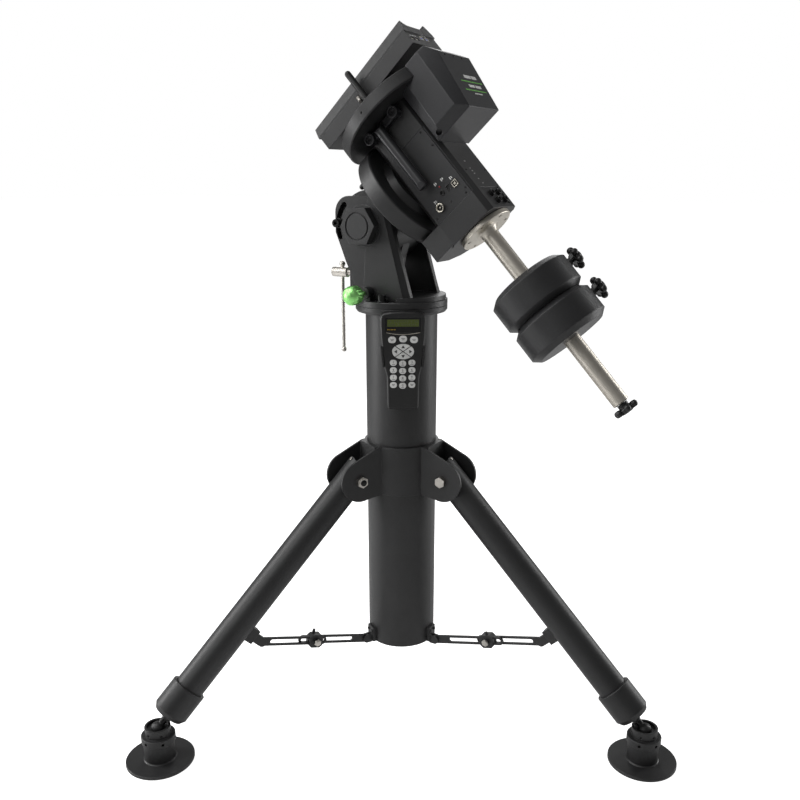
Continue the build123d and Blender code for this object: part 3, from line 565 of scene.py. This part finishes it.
def rim_frame_polar(u, degrees):
    """Frame on the RA ring's rim, z pointing out; the angle runs from DOWN away from the viewer."""
    a = math.radians(degrees)
    out = DOWN * math.cos(a) - SIDE * math.sin(a)
    place = HEAD_CENTRE + POLE * u * MM + out * RA_RIM_RADIUS * MM
    return frame_at(POLE, out.cross(POLE), out, place)


def rim_frame_dec(v, degrees):
    """Frame on the declination ring's rim, z pointing out; the angle runs from POLE to the viewer."""
    a = math.radians(degrees)
    out = POLE * math.cos(a) + SIDE * math.sin(a)
    place = HEAD_CENTRE + DOWN * v * MM + out * DEC_RIM_RADIUS * MM
    return frame_at(DOWN, out.cross(DOWN), out, place)


# ---- saddle ----
def dress_saddle():
    black = bmesh.new()
    shells = bmesh.new()
    blue = bmesh.new()
    white = bmesh.new()
    for w in (39.5, 23.5):
        m = front_face(w, -169.2, 113.2)
        add_plate(black, m, 9.6, 4.6, 7.0, 0.3, 2)
        add_plate(shells, front_face(w, -169.2, 118.9), 6.6, 2.0, 1.4, 0.2, 1)
    for w in (0, -19):
        m = front_face(w, -175.7, 113.2)
        walls = [(0, 3.0, 12.2, 0.9), (0, -2.8, 12.2, 0.9), (5.6, 0.1, 0.9, 5.0), (-5.6, 0.1, 0.9, 5.0)]
        for x, y, wide, tall in walls:
            add_plate(shells, m @ Matrix.Translation((x * MM, y * MM, 0)), wide, tall, 7.9, 0.2, 1)
        add_plate(blue, m @ Matrix.Translation((0, 0.6 * MM, 0)), 9.6, 2.6, 7.0, 0.2, 2)
    labels = [(39.5, -175.6, 6), (31, -176.2, 6), (22.5, -176.4, 6), (-8, -182.0, 8), (-19, -182.0, 6)]
    for w, v, long in labels:
        add_plate(white, front_face(w, v, 121), long, 1.5, 0.12, 0.03, 1)
    from_bmesh("hub_power_plugs", black, PLASTIC, "saddle", False)
    from_bmesh("hub_shells", shells, SHELL, "saddle", False)
    from_bmesh("hub_tongues", blue, BLUE, "saddle", False)
    from_bmesh("hub_label_bars", white, PRINT, "saddle", False)
    bm = bmesh.new()
    sleeve = [(3.42, 0), (3.6, 0.3), (3.6, 15.7), (3.42, 16)]
    m = axis_frame(head(-14.5, 60, -156), tuple(-DOWN))
    add_lathe(bm, m, sleeve, 32, True)
    from_bmesh("lever_pin_sleeve", bm, BRIGHT, "dec_clutch_lever")


def thread(name, matrix, radius, start, stop, pitch, material, body, depth=0.5):
    """A stack of shallow ridges that reads as a screw thread."""
    profile = []
    count = int((stop - start) / pitch)
    for i in range(count):
        low = start + i * pitch
        profile += [(radius, low), (radius + depth, low + pitch / 2)]
    profile.append((radius, start + count * pitch))
    bm = bmesh.new()
    add_lathe(bm, matrix, profile, 36)
    return from_bmesh(name, bm, material, body)


def axis_frame(point, direction):
    """Matrix at a world point whose z runs along a direction."""
    z = Vector(direction).normalized()
    x = z.orthogonal().normalized()
    return frame_at(x, z.cross(x), z, Vector(point))


# ---- stand ----
def dress_stand():
    for name, degrees in LEGS:
        turn = Matrix.Rotation(math.radians(degrees), 4, "Z")
        leg_axis = (FOOT_BALL - LEG_HINGE).normalized()
        m = turn @ axis_frame(FOOT_BALL, -leg_axis)
        thread(f"stud_thread_{name}", m, 6.5, 13.5, 21, 1.5, BLACK_STEEL, f"leg_{name}", 0.45)
        up = leg_axis.cross(Vector((0, 1, 0)))
        if up.z < 0:
            up = -up
        m = turn @ axis_frame(LEG_HINGE - leg_axis * 0.025 + up * 0.030, up)
        bm = bmesh.new()
        add_lathe(bm, m, [(2.9, -0.6), (2.9, 0.3), (2.4, 0.6), (1.4, 0.55), (1.3, -0.3)], 24, True)
        from_bmesh(f"leg_top_screw_{name}", bm, BRIGHT, f"leg_{name}")
        bm = bmesh.new()
        for side, out in ((-1, 13.0), (1, 14.0)):
            m = turn @ axis_frame((0.2066, side * out * MM, 0.1670), (0, side, 0))
            add_lathe(bm, m, [(7.6, -0.3), (7.6, 3.2), (6.6, 4.0), (0.1, 4.05)], 6)
        from_bmesh(f"clamp_bolt_head_{name}", bm, BRIGHT, f"spreader_inner_{name}")
        across = Vector((0, 1, 0))
        m = turn @ axis_frame(LEG_HINGE + across * 0.036, across)
        bm = bmesh.new()
        add_lathe(bm, m, [(6.35, 9.9), (6.3, 11.1), (5.5, 11.7), (0.1, 11.75)], 32)
        from_bmesh(f"bolt_end_{name}", bm, BLACK_STEEL, "pier")


# ---- knobs ----
def add_pebble(bm, matrix, x, y, z, wide, tall):
    """A rounded lobe: an ellipsoid in a frame, in millimetres."""
    made = bmesh.ops.create_uvsphere(bm, u_segments=20, v_segments=12, radius=1.0)
    size = Matrix.Diagonal((wide * MM, wide * MM, tall * MM, 1))
    place = matrix @ Matrix.Translation((x * MM, y * MM, z * MM)) @ size
    bmesh.ops.transform(bm, matrix=place, verts=made["verts"])


def add_lobes(bm, matrix, reach, height, wide, tall):
    for k in range(6):
        a = k * math.pi / 3
        add_pebble(bm, matrix, reach * math.cos(a), reach * math.sin(a), height, wide, tall)


def dress_knobs():
    across = (math.sin(WEIGHT_SCREW_TURN), -math.cos(WEIGHT_SCREW_TURN), 0)
    knob_cap = [(15.0, 93), (15.5, 99), (13.0, 102.0), (9.0, 103.0), (8.2, 105.2), (0.1, 105.6)]
    for name, top in WEIGHT_TOPS:
        m = head_frame(0, 0, top + WEIGHT_SCREW_BELOW_TOP, (0, 0, 1), across)
        bm = bmesh.new()
        add_lobes(bm, m, 16.0, 95.5, 6.4, 6.6)
        add_lathe(bm, m, knob_cap, 36)
        from_bmesh(f"weight_knob_lobes_{name}", bm, PLASTIC, f"weight_knob_{name}")
        thread(f"weight_screw_thread_{name}", m, 4.0, 84.2, 90, 1.25, BLACK_STEEL, f"weight_knob_{name}",
               0.45)
    bm = bmesh.new()
    m = head_frame(0, 0, 0, (1, 0, 0), (0, 1, 0))
    add_lobes(bm, m, 18.0, 555.0, 6.2, 6.4)
    add_lathe(bm, m, [(16.0, 552), (16.5, 557), (13.0, 561.0), (8.0, 562.4), (0.1, 562.8)], 36)
    from_bmesh("toe_saver_lobes", bm, PLASTIC, "toe_saver")


# ---- floor, light and camera ----
def floor():
    bm = bmesh.new()
    bmesh.ops.create_grid(bm, x_segments=8, y_segments=8, size=40)
    mesh = bpy.data.meshes.new("floor")
    bm.to_mesh(mesh)
    bm.free()
    obj = add_object("floor", mesh)
    n = Nodes("pale floor")
    shade = n.noise(n.place(), 2.0, 2.0)
    shade = n.ramp(shade, 0.3, 0.7, 0.0, 1.0)
    n.link(n.mix(shade, (0.90, 0.90, 0.90), (0.93, 0.93, 0.93)), n.out.inputs["Base Color"])
    n.out.inputs["Roughness"].default_value = 0.85
    n.out.inputs["Emission Color"].default_value = (1, 1, 1, 1)
    seen = n.math("MULTIPLY", n.add("LightPath").outputs["Is Camera Ray"], FLOOR_GLOW)
    n.link(seen, n.out.inputs["Emission Strength"])
    obj.data.materials.append(n.mat)


def area(name, place, target, size, power, colour=(1, 1, 1)):
    data = bpy.data.lights.new(name, "AREA")
    data.shape = "RECTANGLE"
    data.size, data.size_y = size
    data.energy = power
    data.color = colour
    obj = add_object(name, data)
    obj.location = place
    obj.rotation_euler = (Vector(target) - Vector(place)).to_track_quat("-Z", "Y").to_euler()


def studio():
    world = bpy.data.worlds.new("studio")
    bpy.context.scene.world = world
    world.use_nodes = True
    nodes = world.node_tree.nodes
    links = world.node_tree.links
    background = nodes["Background"]
    background.inputs["Color"].default_value = (1, 1, 1, 1)
    background.inputs["Strength"].default_value = WORLD_LIGHT
    path = nodes.new("ShaderNodeLightPath")
    white = nodes.new("ShaderNodeBackground")
    white.inputs["Color"].default_value = (1, 1, 1, 1)
    white.inputs["Strength"].default_value = 1.0
    mix = nodes.new("ShaderNodeMixShader")
    links.new(path.outputs["Is Camera Ray"], mix.inputs[0])
    links.new(background.outputs[0], mix.inputs[1])
    links.new(white.outputs[0], mix.inputs[2])
    links.new(mix.outputs[0], nodes["World Output"].inputs["Surface"])
    area("left_box", (-2.2, -1.2, 1.4), (0, 0, 0.8), (0.7, 2.4), 48)
    area("right_box", (1.7, 1.9, 1.2), (0, 0, 0.8), (0.6, 2.2), 26)
    area("key_box", (-0.9, -2.7, 2.3), (0, 0, 0.9), (1.5, 1.5), 19)
    area("top_box", (-0.6, -0.9, 2.9), (0, 0, 0.9), (1.2, 1.2), 22)
    area("back_box", (-1.2, 2.2, 1.8), (0, 0, 0.9), (1.6, 1.6), 16)


def camera():
    data = bpy.data.cameras.new("camera")
    data.sensor_width = SENSOR_WIDTH
    data.lens = LENS
    data.shift_x, data.shift_y = LENS_SHIFT
    obj = add_object("camera", data)
    obj.location = CAMERA_PLACE
    obj.rotation_euler = CAMERA_TURN
    bpy.context.scene.camera = obj


dress_handset()
key_marks()
dress_dec_unit()
dress_saddle()
dress_stand()
dress_knobs()
floor()
studio()
camera()
bpy.context.scene.view_settings.view_transform = "Standard"
